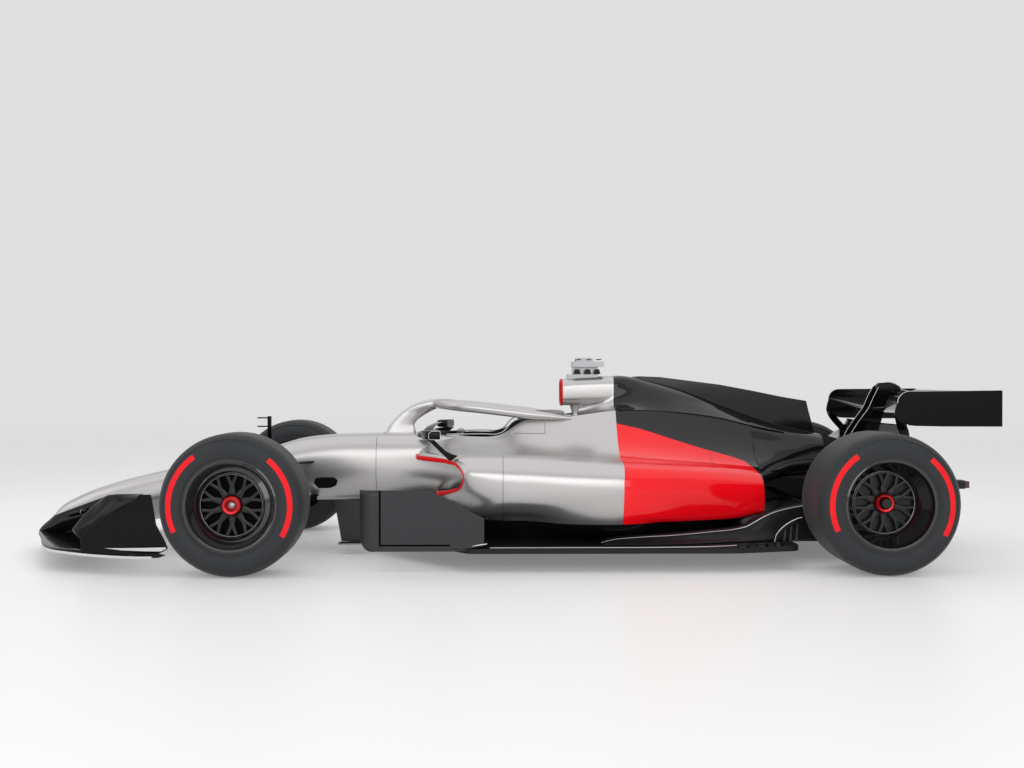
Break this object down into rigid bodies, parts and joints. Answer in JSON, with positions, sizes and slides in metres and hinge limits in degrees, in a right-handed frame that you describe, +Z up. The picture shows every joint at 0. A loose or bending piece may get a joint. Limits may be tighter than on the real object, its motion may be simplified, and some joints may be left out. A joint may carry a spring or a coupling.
{
  "type": "open wheel racing car",
  "caption": "Single seat open wheel racing car with halo, sidepods, front and rear wings, steered front wheels and a movable rear flap.",
  "frame": {"origin": "on the floor under the middle of the car's length and width", "axes": "+X to the tail, +Y to the car's right, +Z up"},
  "size_m": [5.445, 1.899, 1.115],
  "materials": {
    "body_paint": "satin metallic",
    "gloss_black": "gloss",
    "dark_carbon": "satin",
    "tyre_rubber": "matt",
    "rim_black": "gloss",
    "red_paint": "satin",
    "metal": "satin",
    "padding": "matt"
  },
  "bodies": {
    "root": {"survival_cell": "body_paint", "nose_cone": "body_paint", "front_wing_mainplane": "gloss_black", "front_wing_flaps": "gloss_black", "front_wing_endplates": "gloss_black", "halo": "body_paint", "headrest": "padding", "seat": "dark_carbon", "steering_wheel": "dark_carbon", "sidepod_left": "body_paint", "sidepod_right": "body_paint", "engine_cover": "body_paint", "camera_platform": "body_paint", "mirrors": "gloss_black", "floor": "dark_carbon", "plank": "dark_carbon", "diffuser": "dark_carbon", "floorboards": "dark_carbon", "keel_vanes": "dark_carbon", "engine_block": "metal", "gearbox_case": "dark_carbon", "exhaust_tailpipe": "metal", "rear_crash_structure": "dark_carbon", "rear_light": "red_paint", "rear_wing_mainplane": "gloss_black", "rear_wing_endplates": "gloss_black", "rear_wing_pylons": "gloss_black", "sensor_mast": "dark_carbon", "front_wishbones": "dark_carbon", "rear_wishbones": "dark_carbon", "drive_shafts": "metal", "rear_left_upright": "dark_carbon", "rear_right_upright": "dark_carbon"},
    "rear_flap": {"rear_wing_flap": "gloss_black"},
    "front_left_wheel": {"front_left_tyre": "tyre_rubber", "front_left_rim": "rim_black", "front_left_nut": "red_paint"},
    "front_left_knuckle": {"front_left_upright": "dark_carbon"},
    "front_right_wheel": {"front_right_tyre": "tyre_rubber", "front_right_rim": "rim_black", "front_right_nut": "red_paint"},
    "front_right_knuckle": {"front_right_upright": "dark_carbon"},
    "rear_left_wheel": {"rear_left_tyre": "tyre_rubber", "rear_left_rim": "rim_black", "rear_left_nut": "red_paint"},
    "rear_right_wheel": {"rear_right_tyre": "tyre_rubber", "rear_right_rim": "rim_black", "rear_right_nut": "red_paint"}
  },
  "joints": [
    {"name": "front_left_steer", "type": "hinge", "parent": "root", "child": "front_left_knuckle", "pos_m": [-1.3775, -0.69, 0.36], "axis": [0, 0, 1], "range_deg": [-15, 15]},
    {"name": "front_left_spin", "type": "hinge", "parent": "front_left_knuckle", "child": "front_left_wheel", "pos_m": [-1.3775, -0.805, 0.36], "axis": [0, 1, 0], "continuous": true},
    {"name": "rear_left_spin", "type": "hinge", "parent": "root", "child": "rear_left_wheel", "pos_m": [1.9225, -0.76, 0.36], "axis": [0, 1, 0], "continuous": true},
    {"name": "front_right_steer", "type": "hinge", "parent": "root", "child": "front_right_knuckle", "pos_m": [-1.3775, 0.69, 0.36], "axis": [0, 0, 1], "range_deg": [-15, 15]},
    {"name": "front_right_spin", "type": "hinge", "parent": "front_right_knuckle", "child": "front_right_wheel", "pos_m": [-1.3775, 0.805, 0.36], "axis": [0, 1, 0], "continuous": true},
    {"name": "rear_right_spin", "type": "hinge", "parent": "root", "child": "rear_right_wheel", "pos_m": [1.9225, 0.76, 0.36], "axis": [0, 1, 0], "continuous": true},
    {"name": "rear_flap_tilt", "type": "hinge", "parent": "root", "child": "rear_flap", "pos_m": [2.51799, 0, 0.88691], "axis": [0, 1, 0], "range_deg": [0, 25]}
  ],
  "couplings": [
    {"joint": "front_right_steer", "follows": "front_left_steer", "ratio": 1}
  ]
}
